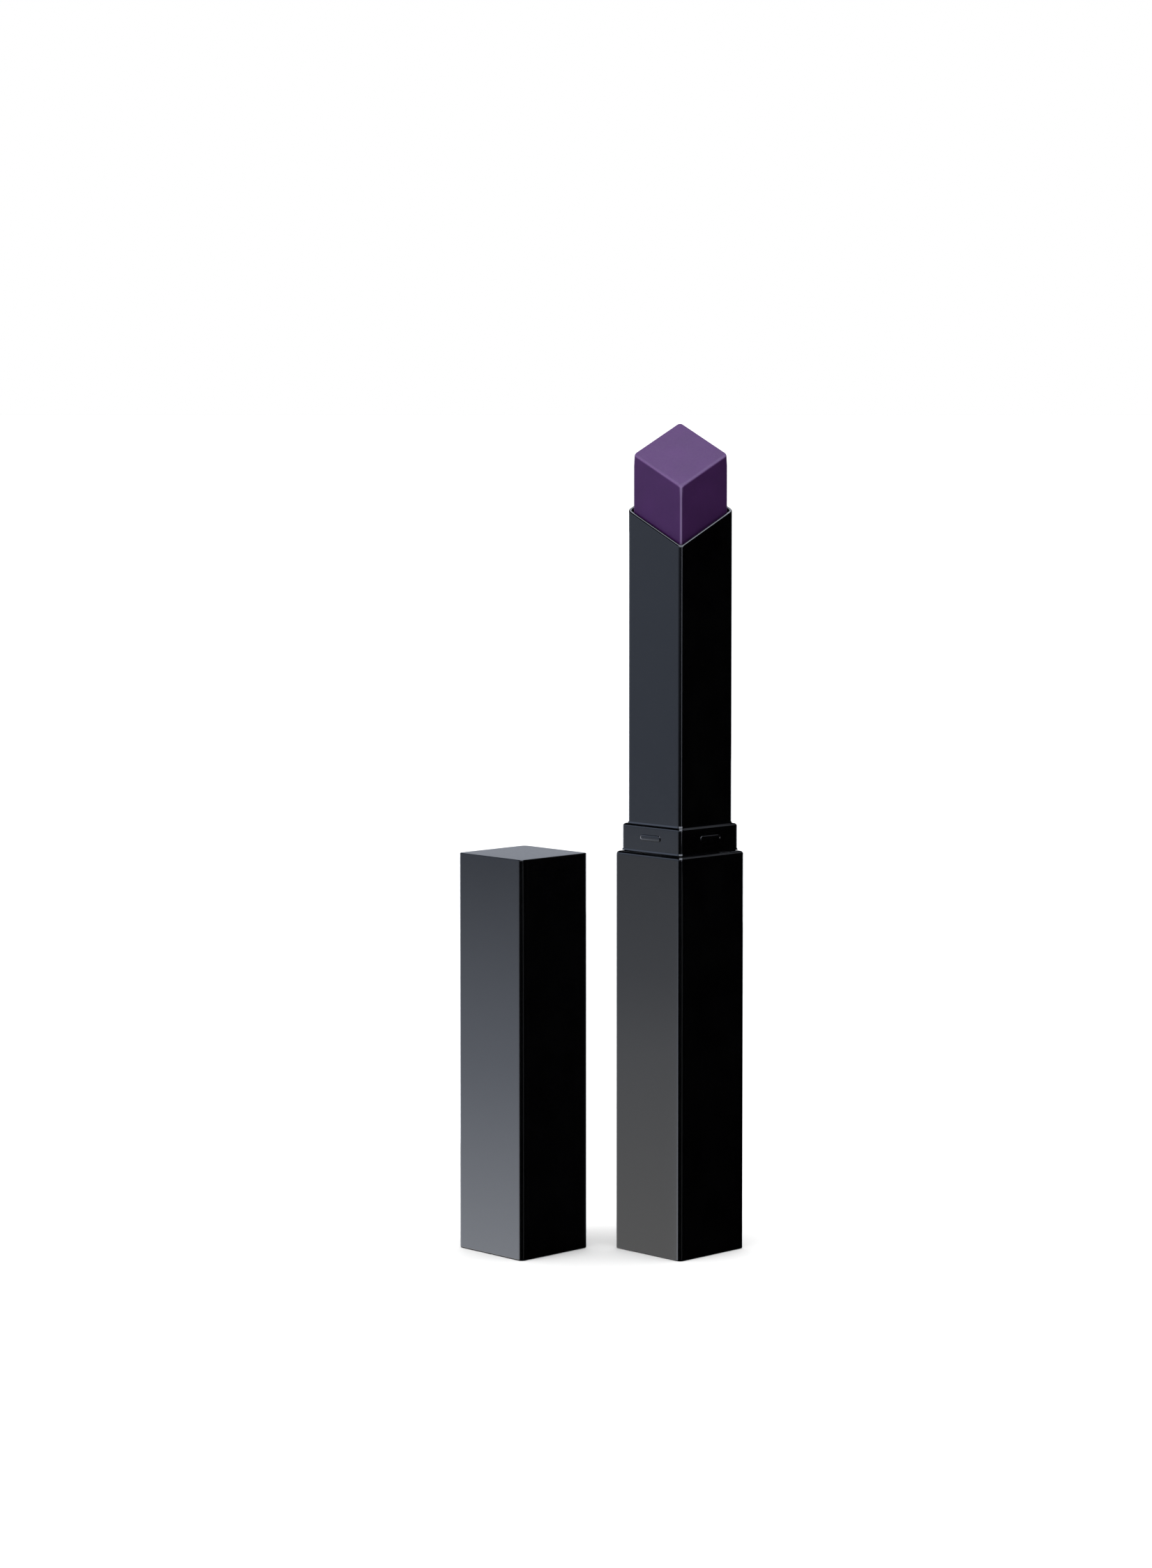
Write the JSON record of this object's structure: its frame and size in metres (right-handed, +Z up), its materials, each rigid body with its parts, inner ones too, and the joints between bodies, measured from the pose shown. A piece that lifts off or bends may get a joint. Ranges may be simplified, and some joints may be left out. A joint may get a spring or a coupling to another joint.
{
  "type": "lipstick case",
  "caption": "Slim square gloss-black twist-up lipstick case with its slanted purple bullet raised above a slanted sleeve, and its square cap standing beside it.",
  "frame": {"origin": "centre of the base's square foot, on the surface that the case stands on", "axes": "+Z up along the case's axis; X and Y square to its flat sides; the sleeve's and the bullet's slanted tops are lowest at the (+X, -Y) corner; the cap stands towards (-X, -Y)"},
  "size_m": [0.0273, 0.0273, 0.1115],
  "materials": {
    "black_lacquer": "gloss",
    "lip_colour": "satin",
    "black_moulding": "satin",
    "natural_moulding": "satin",
    "steel": "satin",
    "seal_rubber": "matte",
    "label_paper": "matte"
  },
  "bodies": {
    "base": {"base_shell": "black_lacquer", "shade_label": "label_paper", "base_weight": "steel", "base_core": "black_moulding", "cam_tube": "natural_moulding", "glide_washer": "black_moulding"},
    "turning_sleeve": {"guide_tube": "natural_moulding", "retaining_ring": "steel", "friction_ring": "seal_rubber", "collar": "black_lacquer", "sleeve": "black_lacquer"},
    "carrier": {"pusher": "natural_moulding", "drive_pin": "steel", "cup": "black_moulding", "bullet": "lip_colour"},
    "cap": {"cap_shell": "black_lacquer", "cap_liner": "black_moulding"}
  },
  "joints": [
    {"name": "twist", "type": "hinge", "parent": "base", "child": "turning_sleeve", "pos_m": [0, 0, 0.054], "axis": [0, 0, 1], "range_deg": [-180, 360]},
    {"name": "propel", "type": "slide", "parent": "turning_sleeve", "child": "carrier", "axis": [0, 0, 1], "range_m": [-0.0082, 0.0164]},
    {"name": "cap_lift", "type": "slide", "parent": "base", "child": "cap", "axis": [0, 0, 1], "range_m": [0, 0.12]}
  ],
  "couplings": [
    {"joint": "twist", "follows": "propel", "rad_per_m": 383.12}
  ]
}
